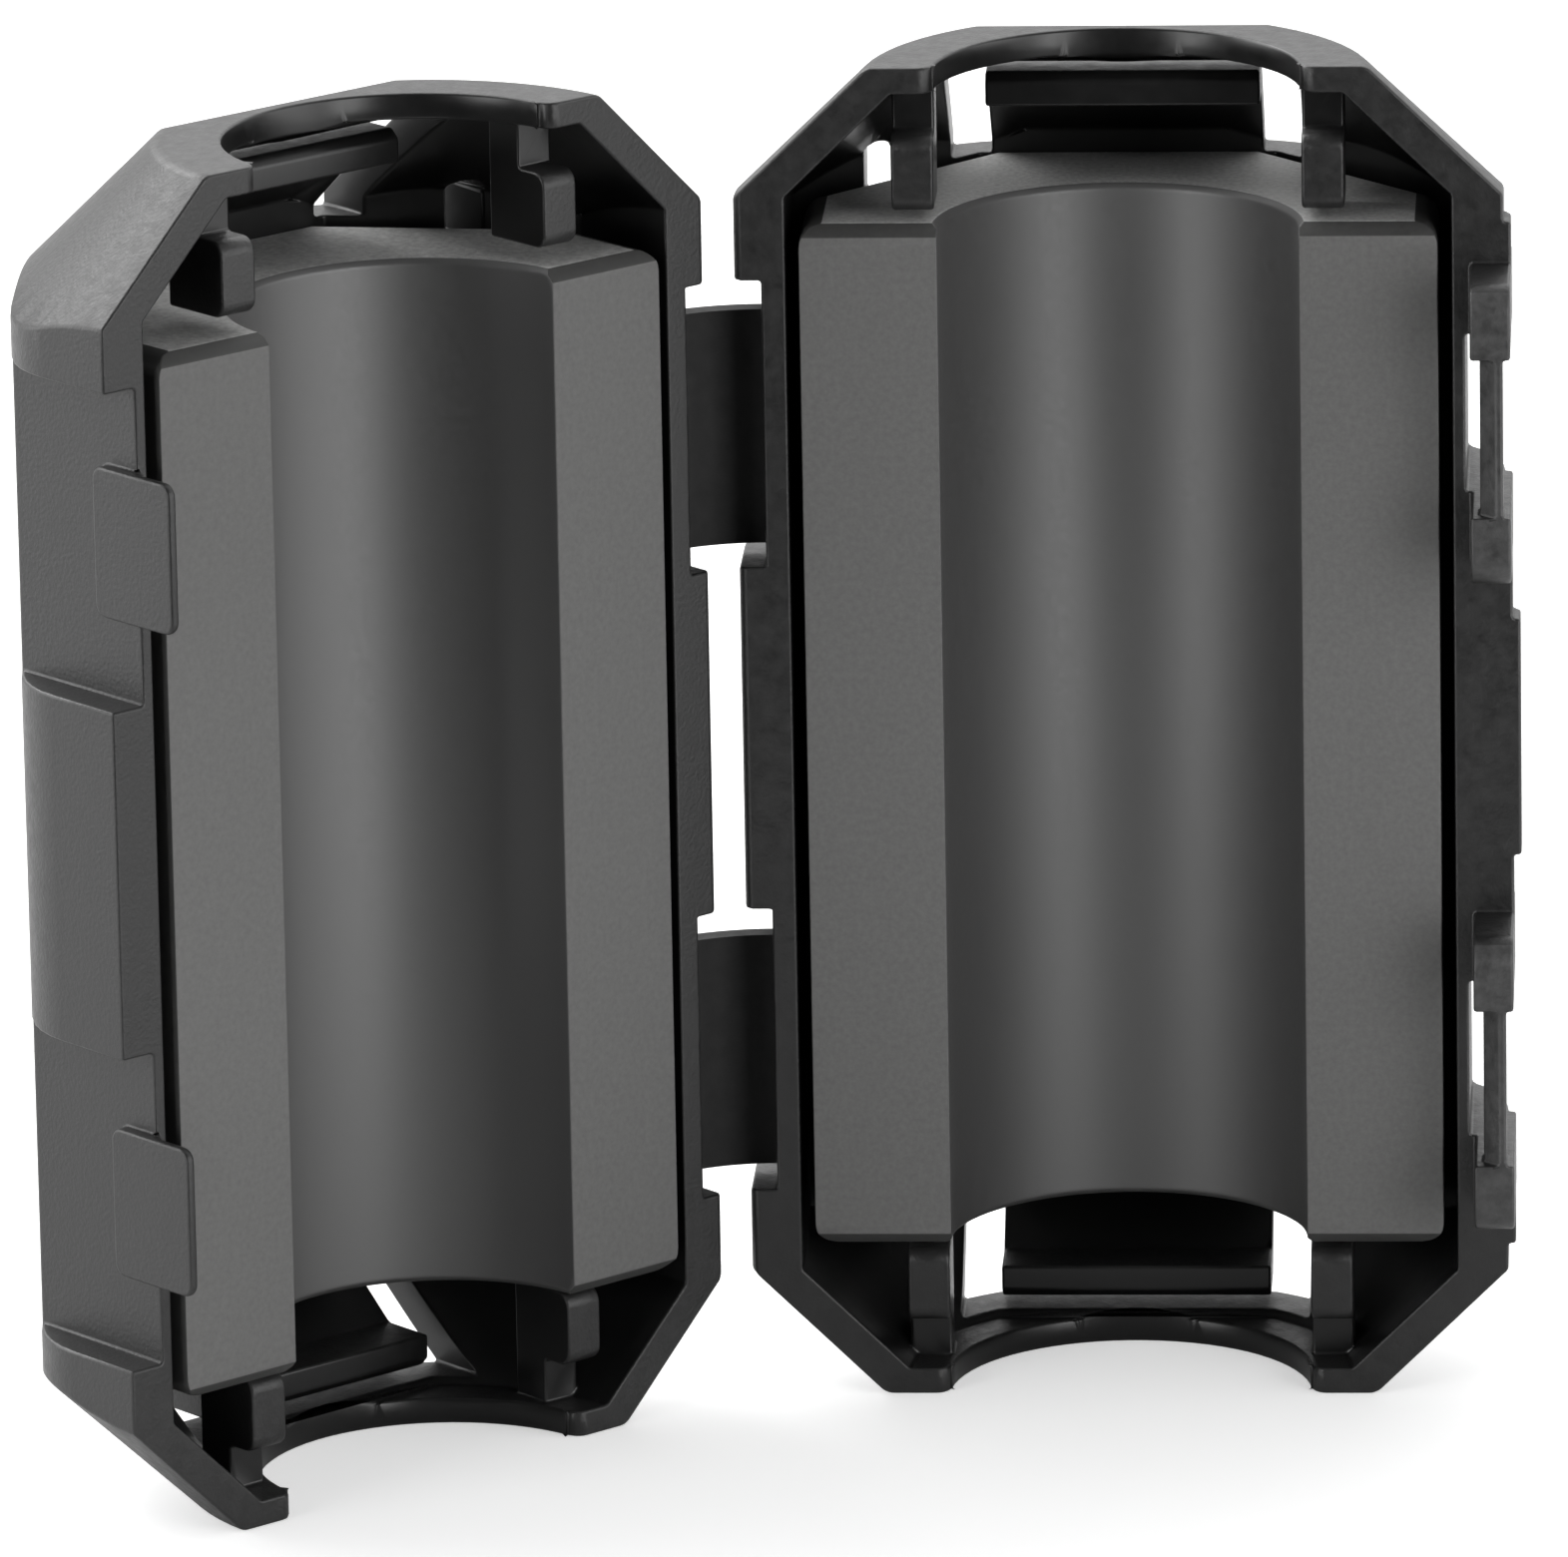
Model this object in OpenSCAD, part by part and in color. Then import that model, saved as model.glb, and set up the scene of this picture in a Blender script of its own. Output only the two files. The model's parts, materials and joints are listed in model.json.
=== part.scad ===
// Clip-on ferrite bead, standing open on its end like a book.
// A moulded nylon case of two half shells, joined by two hinge straps, holds
// half of a ferrite core in each shell. Shut, it clamps round a cable.
// The right half's cable axis is Z, with the origin at the middle of its
// length, and the plane y = 0 is where the two halves meet. Each half is drawn
// up from its end, with its hinge at -X and its latch at +X.

/* [Case] */
// Wall at the sides, behind the rim
side_wall = 1.35; // [1.25:0.05:1.5]
// Wall at the back, behind the core
back_wall = 1.47; // [1.45:0.01:1.6]
// Wall of the sloped ends
slope_wall = 0.95; // [0.8:0.05:1]
// Wall across each end
end_wall = 0.7; // [0.6:0.05:0.85]
// Distance from the taper to the end of the core
taper_room = 0.53; // [0.45:0.01:0.65]
// Width of the end beside its notch
end_flat = 1.72; // [1.5:0.02:2]
// Width of the end behind its notch
end_rim = 0.42; // [0.36:0.02:0.8]
// How far the round of the ends lies inside the flat tapers
cone_in = 0.12; // [0.1:0.01:0.2]
// Room between that round and the corners of the core
cone_room = 0.2; // [0.15:0.01:0.3]
// Radius where a side turns into the taper
shoulder_r = 1.8; // [1:0.1:2.2]
// Radius where the taper turns into the end
nose_r = 0.5; // [0.2:0.1:0.8]
// Radius of the corners inside the case
inner_r = 0.2; // [0.1:0.05:0.25]
// Radius of the long edges
edge_r = 3.6; // [1:0.1:4]
// Gap between the two rims when the case is shut
rim_gap = 0.3; // [0.2:0.02:0.4]

/* [Core] */
// Diameter of the cable bore
bore_d = 9.4; // [8:0.1:10.8]
// Width of the core
core_w = 16.6; // [14:0.1:19]
// Depth of one core half
core_d = 8.3; // [7.5:0.05:9.8]
// Length of the core
core_l = 27.7; // [25:0.1:33]
// Chamfer at the ends of the core's flat faces
core_chamfer = 0.32; // [0.2:0.02:0.6]
// Chamfer at the ends of the bore
bore_chamfer = 0.14; // [0.1:0.02:0.3]
// Radius at the corners of the core's flat faces
core_r = 0.6; // [0.3:0.05:1]
// Room beside the core
core_room = 0.35; // [0.3:0.01:0.45]
// Play of the core between its posts
core_play = 0.5; // [0.2:0.05:0.6]
// Gap between the core, its seat and its posts
seat_gap = 0.03; // [0.02:0.01:0.08]
// Gap between the two core faces when the case is shut
face_gap = 0.04; // [0.02:0.01:0.1]

/* [Ends] */
// Radial room between the cable bore and the end notches
notch_room = 0.08; // [0.05:0.01:0.15]
// Width of each spring tongue
tongue_w = 7.2; // [6:0.1:7.6]
// Width of the slot on each side of a tongue
slot_w = 1.05; // [0.9:0.05:1.1]
// Slot between a tongue's tip and the end ring
tip_slot = 0.3; // [0.25:0.05:0.7]
// Width of the end ring beside the window
ring_w = 0.9; // [0.85:0.05:1.1]
// Height of the gripping lip on a tongue
lip_h = 0.9; // [0.6:0.05:1.1]
// Chamfer on the front of that lip
lip_chamfer = 0.25; // [0.1:0.05:0.4]
// Width of each retaining post
post_w = 1.1; // [0.9:0.05:1.3]
// Length of each retaining post along the case
post_l = 2; // [1.6:0.1:2.1]
// Depth of each retaining post
post_d = 2.2; // [1.8:0.1:2.4]
// Thickness of the root that joins a post to the end wall
post_root = 1.2; // [0.8:0.1:1.4]
// Radius at the top of a post
post_r = 0.4; // [0.2:0.05:0.6]
// Gap between a post and the end wall
post_gap = 1.2; // [1:0.05:1.4]
// Depth of a post's top below the rim
post_drop = 0.25; // [0.2:0.05:0.6]
// Radius of the rim's corners beside a notch
nub_r = 0.4; // [0.2:0.05:0.5]
// Width of the arched hole in each hinge corner
hole_w = 0.66; // [0.5:0.02:0.8]
// Distance of that hole from the post
hole_gap = 0.3; // [0.2:0.05:0.5]

/* [Hinge] */
// How far the case is folded from lying flat
fold = 44; // [0:1:90]
// Depth of the fold lines behind the closing plane
fold_y = 1.55; // [1.5:0.05:1.8]
// Depth of the pockets that the straps fold into
strap_pocket = 0.7; // [0.6:0.05:0.75]
// Length of a strap's pocket along the case
strap_pocket_l = 7.7; // [7.4:0.1:8.2]
// Distance of each strap's pocket from the end of the core
strap_in = 5.35; // [5:0.05:6.5]
// Width of a strap along the case
strap_w = 6.3; // [5.5:0.1:6.5]
// Thickness of a strap
strap_t = 0.6; // [0.4:0.05:0.65]
// How far a strap bows back between its fold lines
strap_bow = 0.15; // [0:0.05:0.25]
// How far a strap sits below the middle of its pocket
strap_low = 0.3; // [0:0.05:0.35]
// Radius of the bead at each fold line
bead_r = 0.22; // [0.18:0.01:0.25]
// Running clearance of the beads and the straps
strap_clear = 0.05; // [0.03:0.01:0.06]
// Chamfer on the rim beside the hinge
hinge_chamfer = 0.15; // [0.12:0.01:0.25]

/* [Latch] */
// Distance of each latch from the end of the core
latch_in = 5.1; // [4.8:0.05:6]
// Length of a latch loop along the case
loop_l = 8; // [7.5:0.1:8.2]
// Length of the window in a loop
loop_window = 4.2; // [4.1:0.1:4.6]
// How far a loop stands past the closing plane
loop_out = 2.75; // [2.5:0.05:3]
// Width of the cross bar of a loop
bar_w = 1.1; // [0.9:0.05:1.2]
// Thickness of the cross bar of a loop
bar_t = 0.6; // [0.5:0.05:0.65]
// Thickness of the legs of a loop
leg_t = 1.05; // [0.9:0.05:1.1]
// How far a loop stands proud of the side
loop_proud = 0.2; // [0.1:0.05:0.3]
// How far a cross bar is set back from its legs
bar_back = 0.2; // [0.05:0.05:0.25]
// Depth that the legs of a loop run back along the side
leg_root = 2.4; // [2:0.1:3]
// Radius at the outer corners of a loop
loop_r = 0.8; // [0.3:0.1:1]
// Thin wall behind the latches
latch_wall = 0.35; // [0.3:0.05:0.4]
// Length of a catch along the case
catch_l = 3.95; // [3.5:0.05:4]
// How far a catch stands past the closing plane
catch_out = 1.5; // [1.2:0.1:1.7]
// Thickness of a catch at its tip
catch_tip = 0.25; // [0.15:0.05:0.3]
// Room round a loop in its pocket
loop_room = 0.15; // [0.1:0.05:0.2]
// Running clearance of a catch in its loop
catch_clear = 0.06; // [0.05:0.01:0.08]
// Length of the thumb lip along the case
thumb_l = 6.4; // [5:0.1:7]

/* [Hidden] */

$fn = 48;
nylon = [0.13, 0.13, 0.135];
ferrite = [0.36, 0.36, 0.36];

// The case is built up round the core
case_l = core_l + core_play + 2 * (post_l + post_gap + end_wall);
half_l = case_l / 2;
half_w = core_w / 2 + core_room + side_wall;
half_d = core_d + seat_gap + back_wall;
far = 2 * case_l;
eps = 0.01;
rim_y = rim_gap / 2;
face_y = face_gap / 2;
bore_r = bore_d / 2;
notch_r = bore_r + notch_room;

// Side flat of the octagonal section, the reach of its slanted faces, and how
// far its faces draw in at the ends, towards the rim round the notch
side_flat = half_w * tan(22.5);
slant_reach = (half_w + side_flat) / sqrt(2);
taper_in = half_w - notch_r - end_flat;
taper_back = half_d - notch_r - end_rim;

core_flat = core_w / 2 * tan(22.5);
core_slant = core_d - core_flat;
core_end = half_l - core_l / 2;
core_slide = core_play / 2 - seat_gap;
taper_h = core_end - core_slide - taper_room;
post_end = core_end - core_play / 2;
window_w = tongue_w + 2 * slot_w;

// The round of the ends is a cone about the cable that clears the core's corners
cone_end = half_w - taper_in;
core_reach = max(norm([core_w / 2, core_flat]), norm([core_w / 2 - core_slant, core_d]));
cone_slope = (core_reach + cone_room + sqrt(2) * slope_wall - cone_end) / (core_end - core_slide);
cone_reach = 1.25 * max(half_w, half_d);
cone_run = cone_reach - cone_end;
tip_z = ring_w + tip_slot;

// The fold lines lie in the floors of the strap pockets
line_x = half_w - strap_pocket;
strap_span = 2 * fold_y;
strap_z = core_l / 2 - strap_in;
far_line = [-line_x - strap_span * cos(fold / 2), fold_y - strap_span * sin(fold / 2)];

// The latch is stacked outwards from the cavity: thin wall, catch, cross bar, legs
latch_z = core_l / 2 - latch_in;
cavity_w = half_w - side_wall;
latch_floor = cavity_w + latch_wall;
loop_face = half_w + loop_proud;
bar_face = loop_face - bar_back;
bar_inside = bar_face - bar_t;
catch_face = bar_inside - catch_clear;
lock_y = loop_out - bar_w - catch_clear;

function unit(v) = v / norm(v);

// Points of an arc of radius r in the corner b of the path a, b, c
function corner(a, b, c, r, steps = 5) =
    let (u = unit(a - b), v = unit(c - b))
    let (half = acos(u * v) / 2, middle = b + unit(u + v) * r / sin(half))
    let (start = b + u * r / tan(half) - middle, stop = b + v * r / tan(half) - middle)
    let (from = atan2(start.y, start.x), turn = atan2(stop.y, stop.x) - from)
    let (sweep = turn > 180 ? turn - 360 : turn < -180 ? turn + 360 : turn)
    [for (i = [0 : steps]) middle + r * [cos(from + sweep * i / steps), sin(from + sweep * i / steps)]];

// Outline of the octagonal half section, with round long edges, set in by the walls
function section_outline(side, back) =
    let (w = half_w - side, d = half_d - back, diagonal = (slant_reach - side) * sqrt(2))
    let (front = [w, -far], edge = [w, diagonal - w], back_edge = [diagonal - d, d])
    let (r = side > 0 ? inner_r : edge_r)
    let (path = concat([front], corner(front, edge, back_edge, r), corner(edge, back_edge, [0, d], r)))
    concat(path, [for (i = [len(path) - 1 : -1 : 0]) [-path[i].x, path[i].y]]);

// The same path for the other end of the case, run backwards
function other_end(path) = [for (i = [len(path) - 1 : -1 : 0]) [path[i].x, case_l - path[i].y]];

// Outline of one face's taper, drawn outwards along its normal and up along Z.
// The face reaches out to reach, draws in by run over rise, and is set in by the walls.
function taper_outline(start, reach, run, rise, wall, slope, ends) =
    let (at_end = reach - run - slope * norm([run, rise]) / rise)
    let (inmost = [start, ends], low = [at_end + ends * run / rise, ends])
    let (high = [reach - wall, (reach - wall - at_end) * rise / run], middle = [reach - wall, half_l])
    let (nose = ends > 0 ? inner_r : nose_r, shoulder = wall > 0 ? inner_r : shoulder_r)
    let (path = concat([inmost], corner(inmost, low, high, nose), corner(low, high, middle, shoulder)))
    concat(path, other_end(path));

// Everything on the inner side of a tapered face whose normal is turned from X
module taper_slab(turn, reach, run, wall, slope, ends) {
    rotate([90, 0, turn])
        linear_extrude(height = 2 * far, center = true)
            polygon(taper_outline(-far, reach, run, taper_h, wall, slope, ends));
}

// Half of an octagonal bar with round tapered ends, behind the plane y = front
module tapered_half(front, side = 0, back = 0, slope = 0, ends = 0) {
    intersection() {
        translate([-far, front, 0])
            cube([2 * far, 2 * far, case_l]);
        linear_extrude(height = case_l)
            polygon(section_outline(side, back));
        rotate_extrude()
            polygon(taper_outline(0, cone_reach, cone_run, cone_run / cone_slope, 0, slope, ends));
        for (turn = [0, 180])
            taper_slab(turn, half_w, taper_in - cone_in, side, slope, ends);
        for (turn = [45, 135])
            taper_slab(turn, slant_reach, taper_in - cone_in, side, slope, ends);
        taper_slab(90, half_d, taper_back, back, slope, ends);
    }
}

// The case filled up to the middle of its walls, where what stands inside it is rooted
module root_room() {
    tapered_half(rim_y, side_wall / 2, back_wall / 2, slope_wall / 2);
}

module at_both_ends() {
    children();
    translate([0, 0, case_l])
        mirror([0, 0, 1])
            children();
}

module at_both_sides() {
    children();
    mirror([1, 0, 0])
        children();
}

// Two places along the case, a distance above and below its middle
module at_stations(distance) {
    for (z = [half_l - distance, half_l + distance])
        translate([0, 0, z])
            children();
}

// A profile of depth and length, as wide as given and centred on x
module across(width, x = 0) {
    translate([x, 0, 0])
        rotate([90, 0, 90])
            linear_extrude(height = width, center = true)
                children();
}

// A box centred on its length along the case, between two corners of the section
module station_box(from, to, length) {
    translate([from.x, from.y, -length / 2])
        cube([to.x - from.x, to.y - from.y, length]);
}

// Slots round a spring tongue, cut through the sloped back
module tongue_window() {
    translate([0, far / 2, 0])
        difference() {
            translate([-window_w / 2, -far / 2, ring_w])
                cube([window_w, far, core_end - ring_w]);
            translate([-tongue_w / 2, -far, tip_z])
                cube([tongue_w, 2 * far, far]);
        }
}

// Lip across the tip of a spring tongue, level with the notch
module tongue_lip() {
    intersection() {
        across(tongue_w)
            polygon([
                [notch_r + lip_chamfer, tip_z],
                [half_d, tip_z],
                [half_d, tip_z + lip_h],
                [notch_r, tip_z + lip_h],
                [notch_r, tip_z + lip_chamfer]
            ]);
        root_room();
    }
}

// Post that keeps the core from sliding, on a root that comes from the end wall
module post() {
    front = [rim_y + post_drop, post_end - post_l];
    top = [front.x, post_end];
    back = [front.x + post_d, front.y];
    heel = [back.x, post_end];
    foot = [back.x, end_wall / 2];
    rounded = concat(corner(back, front, top, post_r), corner(front, top, heel, post_r));
    across(post_w, notch_r + post_w / 2)
        polygon(concat([heel, foot, foot - [post_root, 0], back - [post_root, 0]], rounded));
}

// Arched hole through a hinge corner, beside the end of the core
module corner_hole() {
    arch_z = core_end - hole_w;
    hole_x = notch_r + post_w + hole_gap + hole_w / 2;
    translate([-hole_x, rim_y, arch_z]) {
        rotate([-90, 0, 0])
            cylinder(h = far, r = hole_w / 2);
        translate([-hole_w / 2, 0, 0])
            cube([hole_w, far, 2 * hole_w]);
    }
}

// What rounds the corner of the rim beside a notch
module nub_cut() {
    tip = [notch_r, rim_y];
    linear_extrude(height = post_end - post_l)
        polygon(concat([tip - [nub_r, nub_r]], corner(tip + [0, far], tip, tip + [far, 0], nub_r)));
}

// Pocket in the hinge side that a folded strap lies in, with its bead groove
module strap_pocket_cut() {
    station_box([-far, -far], [-line_x, far], strap_pocket_l);
    translate([-line_x, fold_y, -strap_low])
        cylinder(h = strap_w + 2 * strap_clear, r = bead_r + strap_clear, center = true);
}

// What both half shells share
module half_shell() {
    difference() {
        union() {
            difference() {
                tapered_half(rim_y);
                tapered_half(-far, side_wall, back_wall, slope_wall, end_wall);
                at_both_ends()
                    tongue_window();
            }
            at_both_ends() {
                tongue_lip();
                at_both_sides()
                    post();
            }
        }
        cylinder(h = 2 * case_l, r = notch_r, center = true);
        at_both_ends() {
            corner_hole();
            at_both_sides()
                nub_cut();
        }
        at_stations(strap_z)
            strap_pocket_cut();
        translate([-half_w, rim_y, half_l])
            rotate([0, 0, 45])
                cube([sqrt(2) * hinge_chamfer, sqrt(2) * hinge_chamfer, far], center = true);
    }
}

// Frame of a latch: two legs and a cross bar with a lead-in on its inner edge
module latch_loop() {
    front = [-loop_out, loop_l / 2];
    back = [leg_root, loop_l / 2];
    half_outline = corner(back, front, [-loop_out, 0], loop_r);
    outline = concat([back], half_outline, [for (i = [len(half_outline) - 1 : -1 : 0])
        [half_outline[i].x, -half_outline[i].y]], [[leg_root, -loop_l / 2]]);
    difference() {
        across(leg_t, loop_face - leg_t / 2)
            difference() {
                polygon(outline);
                translate([bar_w - loop_out, -loop_window / 2])
                    square([far, loop_window]);
            }
        station_box([-far, -far], [bar_inside, far], loop_window);
        station_box([bar_face, -far], [far, far], loop_window);
        translate([bar_inside, -loop_out, 0])
            rotate([0, 0, 45])
                cube([bar_t, bar_t, loop_window], center = true);
    }
}

// Catch on the thin wall, with a ramp that leads a loop over it
module latch_catch() {
    inner = latch_floor + catch_clear;
    linear_extrude(height = catch_l, center = true)
        polygon([
            [latch_floor - latch_wall / 2, lock_y],
            [catch_face, lock_y],
            [catch_face, -rim_y],
            [inner + catch_tip, -catch_out],
            [inner, -catch_out],
            [inner, 0],
            [latch_floor - latch_wall / 2, rim_y + eps]
        ]);
}

// Low lip along the rim on the latch side, that runs out into the side behind it
module side_lip(proud, length) {
    linear_extrude(height = length, center = true)
        polygon([
            [half_w - loop_proud, rim_y],
            [half_w + proud, rim_y],
            [half_w + proud, rim_y + leg_t],
            [half_w - loop_proud, rim_y + 2 * leg_t]
        ]);
}

// Puts the middle of a half's length at the origin
module as_right_half() {
    translate([0, 0, -half_l])
        children();
}

// Turns a half about the straps into the place of the left half
module as_left_half() {
    translate([far_line.x, far_line.y, -half_l])
        rotate([0, 0, fold])
            translate([-line_x, -fold_y, 0])
                mirror([1, 0, 0])
                    children();
}

module right_shell() {
    color(nylon)
        as_right_half() {
            difference() {
                union() {
                    half_shell();
                    translate([0, 0, half_l]) {
                        side_lip(loop_proud, case_l - 2 * core_end);
                        side_lip(2 * loop_proud, thumb_l);
                    }
                }
                at_stations(latch_z)
                    station_box([latch_floor, -far], [far, far], loop_window);
            }
            at_stations(latch_z)
                latch_loop();
        }
}

module left_shell() {
    color(nylon)
        as_left_half() {
            difference() {
                half_shell();
                at_stations(latch_z)
                    station_box([latch_floor, -far], [far, far], loop_l + 2 * loop_room);
            }
            at_stations(latch_z)
                latch_catch();
        }
}

// Strap between the two fold lines, bowed back, with a round bead on each line
module hinge_strap() {
    reach = strap_span / 2 - bead_r / 2;
    steps = 8;
    xs = [for (i = [0 : steps]) reach * (2 * i / steps - 1)];
    function bow(x) = strap_clear + strap_bow * (1 - pow(x / reach, 2));
    front = [for (x = xs) [x, bow(x)]];
    back = [for (i = [steps : -1 : 0]) [xs[i], bow(xs[i]) + strap_t]];
    translate([(far_line.x - line_x) / 2, (far_line.y + fold_y) / 2, -strap_low])
        rotate([0, 0, fold / 2])
            linear_extrude(height = strap_w, center = true) {
                polygon(concat(front, back));
                for (x = [-strap_span / 2, strap_span / 2])
                    translate([x, 0])
                        circle(r = bead_r);
            }
}

module upper_hinge_strap() {
    color(nylon)
        translate([0, 0, strap_z])
            hinge_strap();
}

module lower_hinge_strap() {
    color(nylon)
        translate([0, 0, -strap_z])
            hinge_strap();
}

// What rounds a corner of the core's flat face
module core_corner_cut() {
    translate([core_w / 2, 0, core_end])
        rotate([-90, 0, 0])
            linear_extrude(height = 2 * core_d, center = true)
                difference() {
                    square(2 * core_r, center = true);
                    translate([-core_r, -core_r])
                        circle(r = core_r);
                }
}

// Half of the octagonal core, with the half round of the cable bore
module half_core() {
    difference() {
        translate([0, 0, core_end])
            linear_extrude(height = core_l)
                polygon([
                    [-core_w / 2, face_y],
                    [core_w / 2, face_y],
                    [core_w / 2, core_flat],
                    [core_w / 2 - core_slant, core_d],
                    [core_slant - core_w / 2, core_d],
                    [-core_w / 2, core_flat]
                ]);
        cylinder(h = case_l, r = bore_r);
        at_both_ends() {
            at_both_sides()
                core_corner_cut();
            translate([0, 0, core_end - eps])
                cylinder(h = bore_chamfer + eps, r1 = bore_r + bore_chamfer + eps, r2 = bore_r);
            across(2 * core_w)
                translate([face_y, core_end])
                    rotate(45)
                        square(sqrt(2) * core_chamfer, center = true);
        }
    }
}

module right_core() {
    color(ferrite)
        as_right_half()
            half_core();
}

module left_core() {
    color(ferrite)
        as_left_half()
            translate([0, 0, -core_slide])
                half_core();
}

right_shell();
left_shell();
upper_hinge_strap();
lower_hinge_strap();
right_core();
left_core();
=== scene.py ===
# %% [markdown]
# # An open clip-on ferrite bead
# A nylon case of two half shells stands open on its end, with half of a
# ferrite core in each shell. The solids come from CAD and stay where they are.
# This lesson gives them their edges, finishes, hinge bands, light and camera.

# %% Load the solids
import json
import math

import bmesh
import bpy
from mathutils import Matrix, Vector

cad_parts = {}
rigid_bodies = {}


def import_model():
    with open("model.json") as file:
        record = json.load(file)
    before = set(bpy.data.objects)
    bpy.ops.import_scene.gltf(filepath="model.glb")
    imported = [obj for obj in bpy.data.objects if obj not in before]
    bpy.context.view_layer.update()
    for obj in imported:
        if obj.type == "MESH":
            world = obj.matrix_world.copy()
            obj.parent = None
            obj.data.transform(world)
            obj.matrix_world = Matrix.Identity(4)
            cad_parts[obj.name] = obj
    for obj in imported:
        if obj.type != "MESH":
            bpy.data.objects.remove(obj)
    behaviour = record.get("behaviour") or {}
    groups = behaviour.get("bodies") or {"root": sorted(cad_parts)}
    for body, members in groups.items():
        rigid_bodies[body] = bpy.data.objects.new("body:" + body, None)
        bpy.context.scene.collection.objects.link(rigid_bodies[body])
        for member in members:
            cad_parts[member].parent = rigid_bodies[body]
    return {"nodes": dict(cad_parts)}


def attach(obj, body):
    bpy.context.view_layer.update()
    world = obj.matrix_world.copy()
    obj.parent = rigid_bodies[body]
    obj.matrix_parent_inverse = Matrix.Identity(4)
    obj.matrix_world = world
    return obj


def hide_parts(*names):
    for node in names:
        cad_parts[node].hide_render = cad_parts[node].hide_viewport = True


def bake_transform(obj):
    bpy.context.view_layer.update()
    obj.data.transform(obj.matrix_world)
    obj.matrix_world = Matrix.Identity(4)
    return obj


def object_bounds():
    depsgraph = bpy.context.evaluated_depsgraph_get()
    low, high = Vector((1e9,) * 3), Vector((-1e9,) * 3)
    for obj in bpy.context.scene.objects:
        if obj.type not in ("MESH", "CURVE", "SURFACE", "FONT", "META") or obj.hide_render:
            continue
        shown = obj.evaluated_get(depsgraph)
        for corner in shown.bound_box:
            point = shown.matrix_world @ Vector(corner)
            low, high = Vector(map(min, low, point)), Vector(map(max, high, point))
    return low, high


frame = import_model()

solids = frame["nodes"]
for thing in list(bpy.data.objects):
    if thing.type in ("MESH", "CAMERA", "LIGHT") and thing not in solids.values():
        bpy.data.objects.remove(thing)

scene = bpy.context.scene
cad_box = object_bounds()
mm = 0.001
print("solids:", ", ".join(sorted(solids)))
print("box in mm:", [[round(v / mm, 2) for v in corner] for corner in cad_box])

# %% [markdown]
# ## The camera
# The photograph was taken from a little above and nearly straight on, with a
# long lens, so parallel edges stay almost parallel. A camera can be aimed by eye
# or with a constraint. Here its axes are worked out from the three angles that
# were measured, because they also hold the slight tilt of the picture.

# %% Camera
PHOTO_WIDTH, FOCAL_PIXELS = 1571, 15950.6
SENSOR = 36
AZIMUTH, ELEVATION, TILT = math.radians(3.391), math.radians(15.472), math.radians(-1.028)
DISTANCE = 417.6 * mm
AIM = Vector((-8.923, 0.15, -1.069)) * mm


def direction(azimuth, elevation):
    """The way to a place around the bead. Azimuth 0 is in front, a quarter turn to the right."""
    flat = math.cos(elevation)
    return Vector((math.sin(azimuth) * flat, -math.cos(azimuth) * flat, math.sin(elevation)))


back = direction(AZIMUTH, ELEVATION)
across = Vector((math.cos(AZIMUTH), math.sin(AZIMUTH), 0))
upright = back.cross(across)
right = across * math.cos(TILT) + upright * math.sin(TILT)
up = upright * math.cos(TILT) - across * math.sin(TILT)

camera = bpy.data.objects.new("camera", bpy.data.cameras.new("camera"))
scene.collection.objects.link(camera)
camera.data.sensor_width = SENSOR
camera.data.lens = SENSOR * FOCAL_PIXELS / PHOTO_WIDTH
camera.data.clip_start, camera.data.clip_end = 0.02, 20
turned = Matrix((right, up, back)).transposed().to_4x4()
camera.matrix_world = Matrix.Translation(AIM + back * DISTANCE) @ turned
scene.camera = camera
print("lens in mm:", round(camera.data.lens, 1))

# %% [markdown]
# ## Floor and light
# The bead stands on white paper in a small light tent. Two soft boxes in front
# give the pair of upright highlights in each bore, one at each side lights the
# outer walls, and two behind brighten every face that looks up. A soft box is an
# area lamp. Its power is written as the share of a white card's brightness that
# it gives, so that colours come out about as they are written.

# %% Floor
PAPER_WHITE, PAPER_LIFT = 0.8, 0.45
SHEET_REACH = 2
PAPER_FRONT = -0.04
scene.view_settings.view_transform = "Standard"
floor_z = cad_box[0].z


def shader_chain(tree):
    """Empties a node tree and gives a helper that adds nodes, wired to numbers or sockets."""
    def add(kind, *values, **settings):
        node = tree.nodes.new(kind)
        for key, value in settings.items():
            setattr(node, key, value)
        for place, value in enumerate(values):
            if isinstance(value, bpy.types.NodeSocket):
                tree.links.new(value, node.inputs[place])
            elif value is not None:
                node.inputs[place].default_value = value
        return node
    tree.nodes.clear()
    return add


def seen_directly(add):
    """1 for what the camera sees, straight or through a clear thing, and else 0."""
    path = add("ShaderNodeLightPath")
    rays = (path.outputs["Is Camera Ray"], path.outputs["Is Transmission Ray"])
    return add("ShaderNodeMath", *rays, operation="MAXIMUM").outputs[0]


paper = bpy.data.materials.new("white_paper")
paper.use_nodes = True
add = shader_chain(paper.node_tree)
lift = add("ShaderNodeMath", seen_directly(add), PAPER_LIFT, operation="MULTIPLY")
glow = add("ShaderNodeEmission", (1, 1, 1, 1), lift.outputs[0])
matte = add("ShaderNodeBsdfDiffuse", (PAPER_WHITE, PAPER_WHITE, PAPER_WHITE, 1))
both = add("ShaderNodeAddShader", matte.outputs[0], glow.outputs[0])
add("ShaderNodeOutputMaterial", both.outputs[0])

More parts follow.
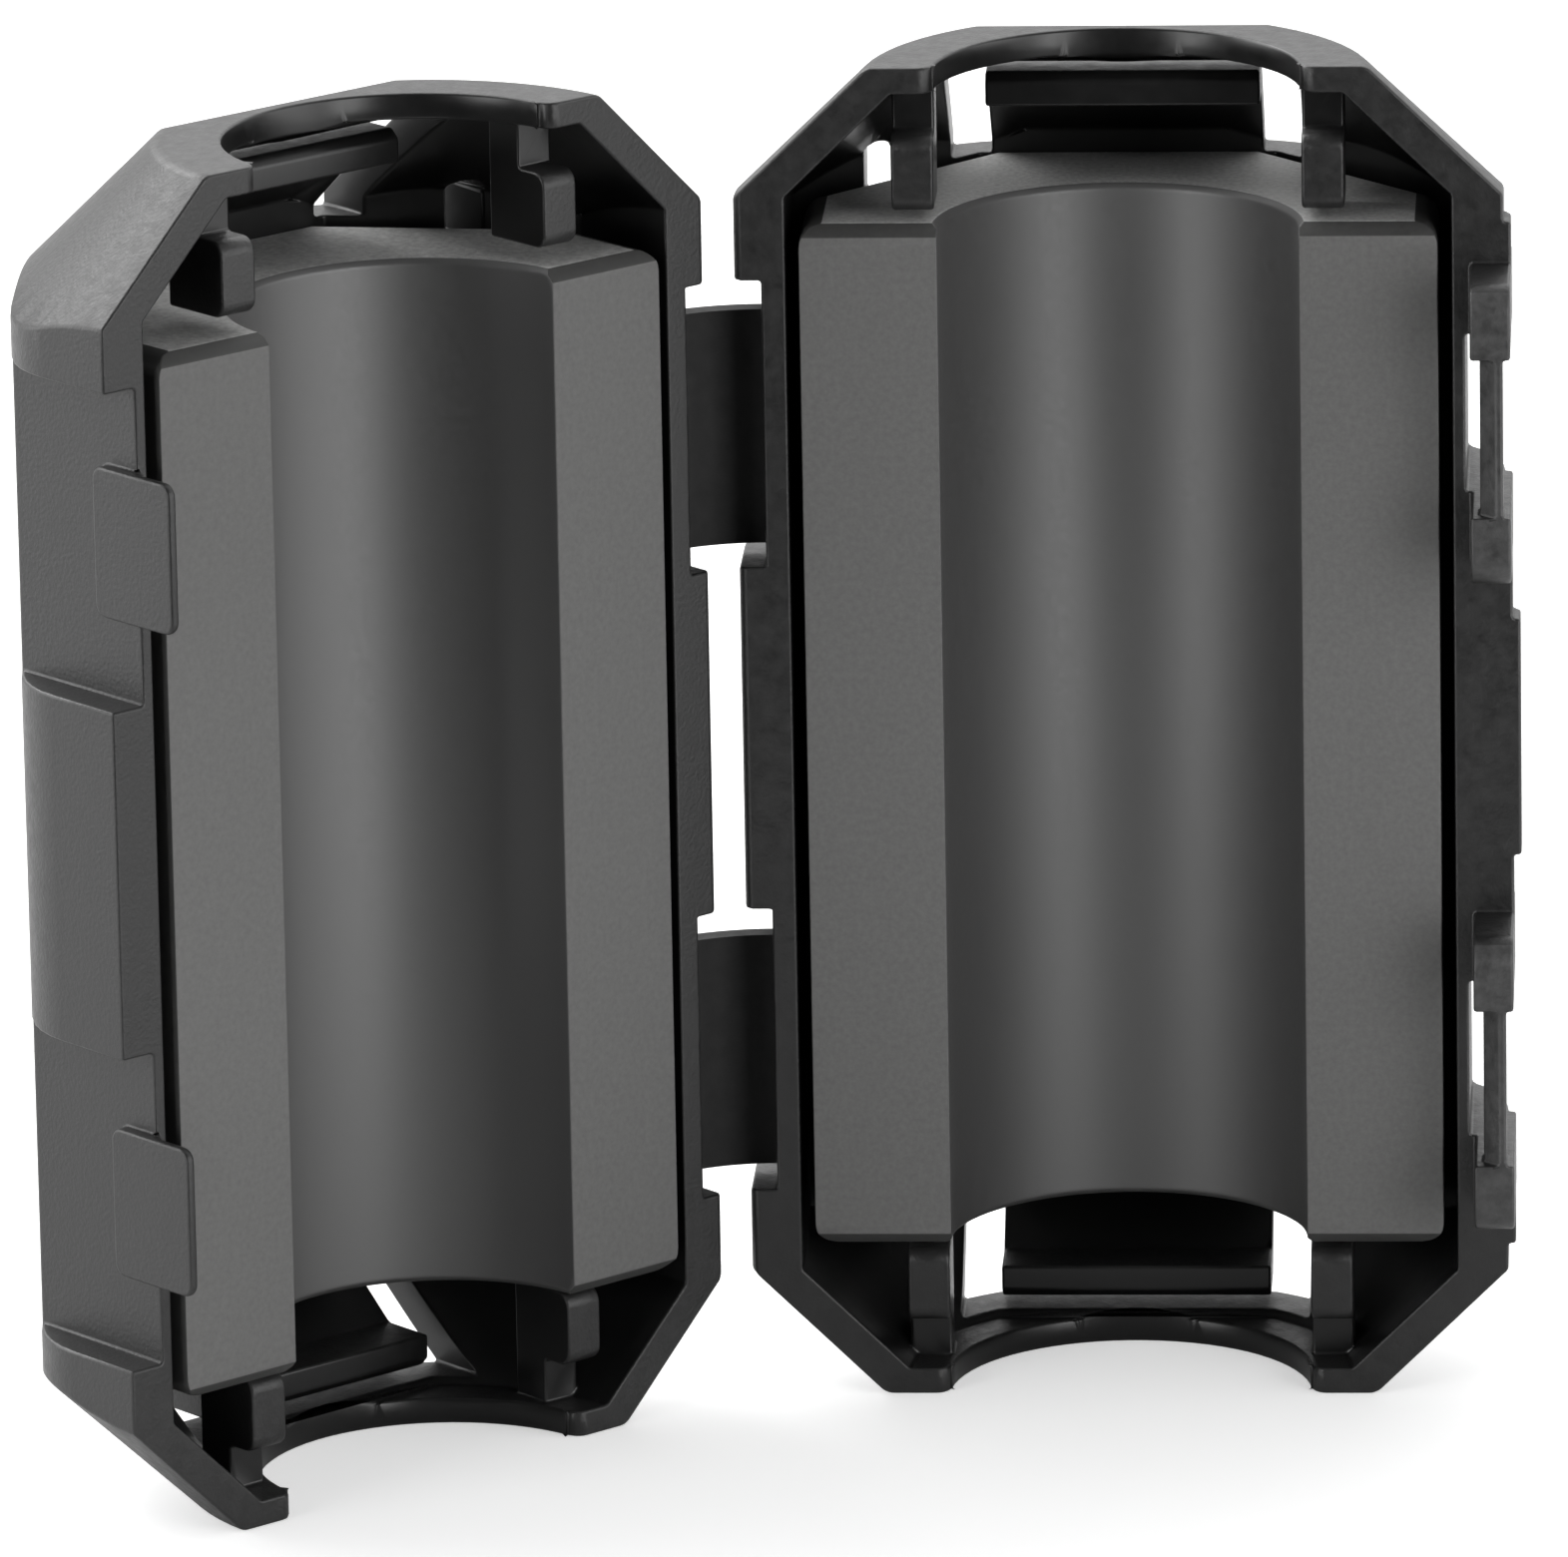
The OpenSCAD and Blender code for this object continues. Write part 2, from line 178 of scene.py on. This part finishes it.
front, rear, side = PAPER_FRONT, SHEET_REACH, SHEET_REACH
corners = [(-side, front), (side, front), (side, rear), (-side, rear)]
sheet = bpy.data.meshes.new("paper_floor")
sheet.from_pydata([(x, y, floor_z) for x, y in corners], [], [(0, 1, 2, 3)])
sheet.materials.append(paper)
floor = bpy.data.objects.new("paper_floor", sheet)
scene.collection.objects.link(floor)
print("floor at", round(floor_z / mm, 2), "mm")

# %% Soft boxes
BOX_AWAY = 0.5
centre = (cad_box[0] + cad_box[1]) / 2


def soft_box(name, azimuth, elevation, width, tall, share):
    """An area lamp aimed at the bead, with its place in degrees and its size in metres."""
    way = direction(math.radians(azimuth), math.radians(elevation))
    lamp = bpy.data.lights.new(name, "AREA")
    lamp.shape = "RECTANGLE"
    lamp.size, lamp.size_y = width, tall
    lamp.energy = share * math.pi ** 2 * BOX_AWAY ** 2
    box = bpy.data.objects.new(name, lamp)
    scene.collection.objects.link(box)
    aimed = way.to_track_quat("Z", "Y").to_matrix().to_4x4()
    box.matrix_world = Matrix.Translation(centre + way * BOX_AWAY) @ aimed
    print(name, "gives", share, "of a white card")


soft_box("front_left_box", -46, 8, 0.22, 0.50, 0.60)
soft_box("front_right_box", 42, 8, 0.20, 0.50, 0.58)
soft_box("left_box", -98, 6, 0.36, 0.40, 0.57)
soft_box("right_box", 80, 6, 0.36, 0.40, 0.40)
soft_box("rear_left_box", -125, 42, 0.40, 0.30, 0.65)
soft_box("rear_box", 180, 38, 0.80, 0.25, 0.45)

# %% World
TENT_FRONT, TENT_REAR = 0.08, 1.0
GRADE_START, GRADE_STOP = -0.6, 0.2
world = bpy.data.worlds.new("light_tent")
scene.world = world
world.use_nodes = True
add = shader_chain(world.node_tree)
way = add("ShaderNodeSeparateXYZ", add("ShaderNodeTexCoord").outputs["Generated"])
grade = (GRADE_START, GRADE_STOP, TENT_FRONT, TENT_REAR)
graded = add("ShaderNodeMapRange", way.outputs["Y"], *grade, interpolation_type="SMOOTHSTEP")
strength = add("ShaderNodeMix", seen_directly(add), None, graded.outputs[0], 1.0)
cloth = add("ShaderNodeBackground", (1, 1, 1, 1), strength.outputs[0])
add("ShaderNodeOutputWorld", cloth.outputs[0])
print("tent from", TENT_FRONT, "in front to", TENT_REAR, "behind")

# %% [markdown]
# ## Black nylon
# The case is moulded in a steel tool whose outside was spark eroded, so the
# plastic has a fine, even grain that breaks its highlights up. The inside of the
# tool was only polished. A bump map from a picture could do this, but noise
# needs no picture and keeps its grain at any distance. Its scale counts grains
# to the metre, so 9000 means grains of about a ninth of a millimetre. The polished
# copy also has a darker colour, which paints the shade inside the case.

# %% Nylon
SHINE = 0.5
NYLON_GRAINS, NYLON_MOTTLE, NYLON_RELIEF = 9000, 2600, 0.02 * mm


def node_material(name):
    material = bpy.data.materials.new(name)
    material.use_nodes = True
    nodes, links = material.node_tree.nodes, material.node_tree.links
    nodes.clear()
    output = nodes.new("ShaderNodeOutputMaterial")
    return material, nodes, links, output


def noise(nodes, links, place, scale, detail, roughness=0.5):
    texture = nodes.new("ShaderNodeTexNoise")
    texture.inputs["Scale"].default_value = scale
    texture.inputs["Detail"].default_value = detail
    texture.inputs["Roughness"].default_value = roughness
    links.new(place.outputs["Object"], texture.inputs["Vector"])
    return texture


def spread(nodes, links, source, low, high, start=0.3, stop=0.7):
    """Stretches a noise to run from low to high."""
    span = nodes.new("ShaderNodeMapRange")
    span.inputs["From Min"].default_value, span.inputs["From Max"].default_value = start, stop
    span.inputs["To Min"].default_value, span.inputs["To Max"].default_value = low, high
    links.new(source.outputs["Fac"], span.inputs["Value"])
    return span


def tint(nodes, links, source, dark, light, start=0.3, stop=0.7):
    """Colours a noise from a dark tone to a light one."""
    ramp = nodes.new("ShaderNodeValToRGB")
    ramp.color_ramp.elements[0].position, ramp.color_ramp.elements[1].position = start, stop
    ramp.color_ramp.elements[0].color = (*dark, 1)
    ramp.color_ramp.elements[1].color = (*light, 1)
    links.new(source.outputs["Fac"], ramp.inputs["Fac"])
    return ramp


def bump(nodes, links, source, strength, depth):
    relief = nodes.new("ShaderNodeBump")
    relief.inputs["Strength"].default_value = strength
    relief.inputs["Distance"].default_value = depth
    links.new(source.outputs["Fac"], relief.inputs["Height"])
    return relief


def moulded_nylon(name, dark, light, rough, grain):
    material, nodes, links, output = node_material(name)
    surface = nodes.new("ShaderNodeBsdfPrincipled")
    surface.inputs["Specular IOR Level"].default_value = SHINE
    place = nodes.new("ShaderNodeTexCoord")
    fine = noise(nodes, links, place, NYLON_GRAINS, 2)
    mottle = noise(nodes, links, place, NYLON_MOTTLE, 4, 0.65)
    colour = tint(nodes, links, mottle, (dark, dark, dark), (light, light, light))
    links.new(colour.outputs["Color"], surface.inputs["Base Color"])
    links.new(spread(nodes, links, mottle, *rough).outputs[0], surface.inputs["Roughness"])
    links.new(bump(nodes, links, fine, grain, NYLON_RELIEF).outputs[0], surface.inputs["Normal"])
    links.new(surface.outputs[0], output.inputs["Surface"])
    return material


grained_nylon = moulded_nylon("grained_nylon", 0.009, 0.015, (0.36, 0.50), 0.6)
# polished finish, with a darker colour that paints the shade inside the case
shaded_polished_nylon = moulded_nylon("shaded_polished_nylon", 0.004, 0.006, (0.28, 0.34), 0.03)
# a lighter copy of the grained nylon, which paints light on the fronts of the latch loops
painted_light_nylon = moulded_nylon("painted_light_nylon", 0.022, 0.055, (0.40, 0.55), 0.6)
flexed_nylon = moulded_nylon("flexed_nylon", 0.009, 0.013, (0.70, 0.85), 0.3)
nylons = (grained_nylon, shaded_polished_nylon, painted_light_nylon)
print("nylon:", ", ".join(material.name for material in (*nylons, flexed_nylon)))

# %% [markdown]
# ## Grey ferrite
# Ferrite is pressed and fired like pottery. The two faces that meet are ground
# flat, the bore keeps its fired skin and the chamfers beside the ends are darker.
# The ends get a pale colour that paints the light falling on them. One recipe
# with a few numbers gives all of them.

# %% Ferrite
FERRITE_SPECKS, FERRITE_RELIEF = 6500, 0.01 * mm


def fired_ferrite(name, dark, light, rough, grain, shine=SHINE):
    material, nodes, links, output = node_material(name)
    surface = nodes.new("ShaderNodeBsdfPrincipled")
    surface.inputs["Specular IOR Level"].default_value = shine
    place = nodes.new("ShaderNodeTexCoord")
    speck = noise(nodes, links, place, FERRITE_SPECKS, 3, 0.6)
    links.new(tint(nodes, links, speck, dark, light).outputs["Color"], surface.inputs["Base Color"])
    links.new(spread(nodes, links, speck, *rough).outputs[0], surface.inputs["Roughness"])
    links.new(bump(nodes, links, speck, grain, FERRITE_RELIEF).outputs[0], surface.inputs["Normal"])
    links.new(surface.outputs[0], output.inputs["Surface"])
    return material


ground_ferrite = fired_ferrite(
    "ground_ferrite", (0.090, 0.089, 0.088), (0.115, 0.114, 0.112), (0.62, 0.70), 0.15)
bore_ferrite = fired_ferrite(
    "bore_ferrite", (0.017, 0.0168, 0.0165), (0.027, 0.0266, 0.0262), (0.50, 0.58), 0.15, 1.55)
# pale end faces: the colour paints the light that falls on the ends
painted_light_end_ferrite = fired_ferrite(
    "painted_light_end_ferrite", (0.26, 0.26, 0.256), (0.46, 0.46, 0.453), (0.60, 0.75), 0.35)
edge_ferrite = fired_ferrite(
    "edge_ferrite", (0.022, 0.022, 0.021), (0.035, 0.035, 0.034), (0.60, 0.75), 0.35)
ferrites = (ground_ferrite, bore_ferrite, painted_light_end_ferrite, edge_ferrite)
print("ferrite:", ", ".join(material.name for material in ferrites))

# %% [markdown]
# ## The half shells
# A moulding has no knife edges: each edge is turned by about a tenth of a
# millimetre, and that thin round catches the light. The CAD mesh is copied, its
# flat triangles are joined into whole faces, and a bevel rounds what is sharp.
# The corners of the catches are rounder still. Faces that look towards the cable
# get the polished finish, darker to paint the shade inside the case, and the
# fronts of the latch loops a lighter copy that paints the light falling on them.

# %% Half shells
FOLD = math.radians(44)
LATCH_Z, CATCH_L, CATCH_R = 8.75 * mm, 3.95 * mm, 0.35 * mm
CATCH_FRONT, CATCH_BACK = -1.5 * mm, 1.59 * mm
SHELL_EDGE, SHELL_SHARP = 0.08 * mm, 32
INSIDE_DEPTH, LOOP_DEPTH = 0.3 * mm, -0.1 * mm
GRAINED, POLISHED_SHADED, PAINTED_LIGHT = range(3)
LEFT_AXIS_PLACE = Vector((-17.78741, -7.18658, 0)) * mm
right_axis = Matrix.Identity(4)
left_axis = Matrix.Translation(LEFT_AXIS_PLACE) @ Matrix.Rotation(FOLD, 4, "Z")


def joined_faces(node):
    """A bmesh of a solid, with its triangles joined into flat faces."""
    form = bmesh.new()
    form.from_mesh(solids[node].data)
    bmesh.ops.remove_doubles(form, verts=form.verts, dist=0.0001 * mm)
    flat = math.radians(0.5)
    bmesh.ops.dissolve_limit(form, angle_limit=flat, verts=form.verts, edges=form.edges)
    return form


def add_piece(name, form, body, node, materials):
    mesh = bpy.data.meshes.new(name)
    form.to_mesh(mesh)
    form.free()
    piece = bpy.data.objects.new(name, mesh)
    scene.collection.objects.link(piece)
    for material in materials:
        mesh.materials.append(material)
    for face in mesh.polygons:
        face.use_smooth = True
    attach(piece, body)
    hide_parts(node)
    print(name, "has", len(mesh.polygons), "faces")
    return piece


def round_edges(piece, width, angle):
    bevel = piece.modifiers.new("turned_edges", "BEVEL")
    bevel.width, bevel.segments = width, 2
    bevel.limit_method, bevel.angle_limit = "ANGLE", math.radians(angle)
    bevel.use_clamp_overlap = False
    bevel.miter_outer = "MITER_ARC"
    normals = piece.modifiers.new("even_shading", "WEIGHTED_NORMAL")
    normals.keep_sharp = True


def outwards(face, inverse):
    """How far a face looks away from the cable: 1 straight out, -1 straight in."""
    middle = inverse @ face.calc_center_median()
    normal = inverse.to_3x3() @ face.normal
    return (normal.x * middle.x + normal.y * middle.y) / math.hypot(middle.x, middle.y)


def round_catches(form, inverse):
    """Rounds the corners of the two catches, that stand past the closing plane."""
    corners = []
    for edge in form.edges:
        one, two = (inverse @ vert.co for vert in edge.verts)
        along, middle = (two - one).normalized(), (one + two) / 2
        at_end = abs(abs(abs(middle.z) - LATCH_Z) - CATCH_L / 2) < 0.01 * mm
        at_side = min(abs(middle.y - y) for y in (CATCH_FRONT, CATCH_BACK)) < 0.02 * mm
        if abs(along.x) > 0.9 and at_end and at_side:
            corners.append(edge)
    bmesh.ops.bevel(form, geom=corners, offset=CATCH_R, segments=5, profile=0.5, affect="EDGES")
    print("rounded", len(corners), "corners of the catches")


def half_shell(name, body, node, axis):
    form = joined_faces(node)
    inverse = axis.inverted()
    if node == "left_shell":
        round_catches(form, inverse)
    for face in form.faces:
        depth = (inverse @ face.calc_center_median()).y
        # inward faces deep in the case get the polished nylon, darker to paint the shade there
        if depth > INSIDE_DEPTH and outwards(face, inverse) < -0.2:
            face.material_index = POLISHED_SHADED
        # front faces of the right shell's latch loops get the lighter nylon, painted light
        elif depth < LOOP_DEPTH and node == "right_shell" and face.normal.y < -0.5:
            face.material_index = PAINTED_LIGHT
        else:
            face.material_index = GRAINED
    piece = add_piece(name, form, body, node, nylons)
    round_edges(piece, SHELL_EDGE, SHELL_SHARP)


half_shell("right_half_shell", "right_half", "right_shell", right_axis)
half_shell("left_half_shell", "left_half", "left_shell", left_axis)

# %% [markdown]
# ## The ferrite cores
# A core half is one outline drawn along the cable. The CAD mesh gives the bore
# only a few flats, which would show as stripes in its long highlights, so the
# outline is drawn again with a finer arc. Near the ends each ring of the loft
# draws in a little: that makes the chamfer of the flat faces, the smaller one of
# the bore and the round corners.

# %% Cores
BORE_R, CORE_W, CORE_D, CORE_L = 4.7 * mm, 16.6 * mm, 8.3 * mm, 27.7 * mm
FACE_Y, LEFT_DROP = 0.02 * mm, 0.22 * mm
CORE_EDGE, CORE_SHARP = 0.04 * mm, 30
FACE_CHAMFER, BORE_CHAMFER, CORNER_R = 0.32 * mm, 0.14 * mm, 0.6 * mm
END_RINGS = [d * mm for d in (0, 0.07, 0.14, 0.23, 0.32, 0.44, 0.6)]
ARC_STEPS = 72
GROUND, BORE, LIT_END, SKIN = range(4)


def core_ring(from_end):
    """The outline of a core half, at a distance from its nearer end."""
    face = FACE_Y + max(0, FACE_CHAMFER - from_end)
    bore = BORE_R + max(0, BORE_CHAMFER - from_end)
    short = max(0, CORNER_R - from_end)
    side = CORE_W / 2 - (CORNER_R - math.sqrt(CORNER_R ** 2 - short ** 2))
    flat = CORE_W / 2 * math.tan(math.radians(22.5))
    start = math.asin(face / bore)
    sweep = [start + (math.pi - 2 * start) * i / ARC_STEPS for i in range(ARC_STEPS + 1)]
    arc = [(bore * math.cos(t), bore * math.sin(t)) for t in reversed(sweep)]
    slant = CORE_W / 2 - (CORE_D - flat)
    rear = [(side, face), (side, flat), (slant, CORE_D)]
    return arc + rear + [(-x, y) for x, y in reversed(rear)]


def half_core(name, body, node, axis, drop):
    levels = END_RINGS + [CORE_L - d for d in reversed(END_RINGS)]
    form = bmesh.new()
    rings = []
    for level in levels:
        z = level - CORE_L / 2 - drop
        outline = core_ring(min(level, CORE_L - level))
        rings.append([form.verts.new(axis @ Vector((x, y, z))) for x, y in outline])
    for low, high, lower, upper in zip(rings, rings[1:], levels, levels[1:]):
        at_end = min(upper, CORE_L - lower) <= FACE_CHAMFER * 1.01
        for i in range(len(low)):
            k = (i + 1) % len(low)
            face = form.faces.new((low[i], low[k], high[k], high[i]))
            land = i in (ARC_STEPS, len(low) - 1)
            bore = i < ARC_STEPS
            face.material_index = BORE if bore else GROUND if land and not at_end else SKIN
    # the end caps get the pale ferrite, which paints the light falling on them
    for ring, order in ((rings[0], -1), (rings[-1], 1)):
        form.faces.new(ring[::order]).material_index = LIT_END
    bmesh.ops.recalc_face_normals(form, faces=form.faces)
    piece = add_piece(name, form, body, node, ferrites)
    round_edges(piece, CORE_EDGE, CORE_SHARP)


half_core("right_half_core", "right_half", "right_core", right_axis, 0)
half_core("left_half_core", "left_half", "left_core", left_axis, LEFT_DROP)

# %% [markdown]
# ## The hinge bands
# The shells hang together by two thin bands, moulded in one with them. A band
# leaves each shell square to its side and bends evenly between them, so it is an
# arc. It is drawn in two lengths that meet in the middle.

# %% Hinge bands
RIGHT_LINE = Vector((-9.3, 1.55)) * mm
SPAN = 3.1 * mm
STRAP_Z = 8.5 * mm
BAND_THICK, BAND_TALL, BAND_LOW, BAND_OUT = 0.6 * mm, 6.3 * mm, 0.4 * mm, 0.05 * mm
BAND_STEPS, BAND_ROWS, BAND_ROOT = 14, 12, 0.04
bend_radius = SPAN / 2 / math.sin(FOLD / 2)
bend_centre = Vector((RIGHT_LINE.x, RIGHT_LINE.y - bend_radius))


def band_point(share, depth):
    """A point of the band, share of the way along it and depth behind its front."""
    angle = FOLD * share
    reach = bend_radius + BAND_OUT + depth
    return bend_centre + reach * Vector((-math.sin(angle), math.cos(angle)))


def band_half(name, middle, first, last):
    heights = [middle + BAND_TALL * (j / BAND_ROWS - 0.5) for j in range(BAND_ROWS + 1)]
    form = bmesh.new()
    rings = []
    for i in range(BAND_STEPS + 1):
        share = first + (last - first) * i / BAND_STEPS
        front = [(band_point(share, 0), z) for z in heights]
        rear = [(band_point(share, BAND_THICK), z) for z in reversed(heights)]
        rings.append([form.verts.new((p.x, p.y, z)) for p, z in front + rear])
    for one, two in zip(rings, rings[1:]):
        for j in range(len(one)):
            k = (j + 1) % len(one)
            form.faces.new((one[j], one[k], two[k], two[j]))
    form.faces.new(rings[0])
    form.faces.new(rings[-1][::-1])
    bmesh.ops.recalc_face_normals(form, faces=form.faces)
    mesh = bpy.data.meshes.new(name)
    form.to_mesh(mesh)
    form.free()
    mesh.materials.append(flexed_nylon)
    for face in mesh.polygons:
        face.use_smooth = True
    mesh.set_sharp_from_angle(angle=math.radians(40))
    piece = bpy.data.objects.new(name, mesh)
    scene.collection.objects.link(piece)
    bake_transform(piece)
    print(name, "has", len(mesh.polygons), "faces")
    return piece


for place, strap_z in (("upper", STRAP_Z), ("lower", -STRAP_Z)):
    middle = strap_z - BAND_LOW
    rooted = band_half(f"{place}_band_right", middle, -BAND_ROOT, 0.5)
    band_half(f"{place}_band_left", middle, 1 + BAND_ROOT, 0.5)
    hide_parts(f"{place}_hinge_strap")
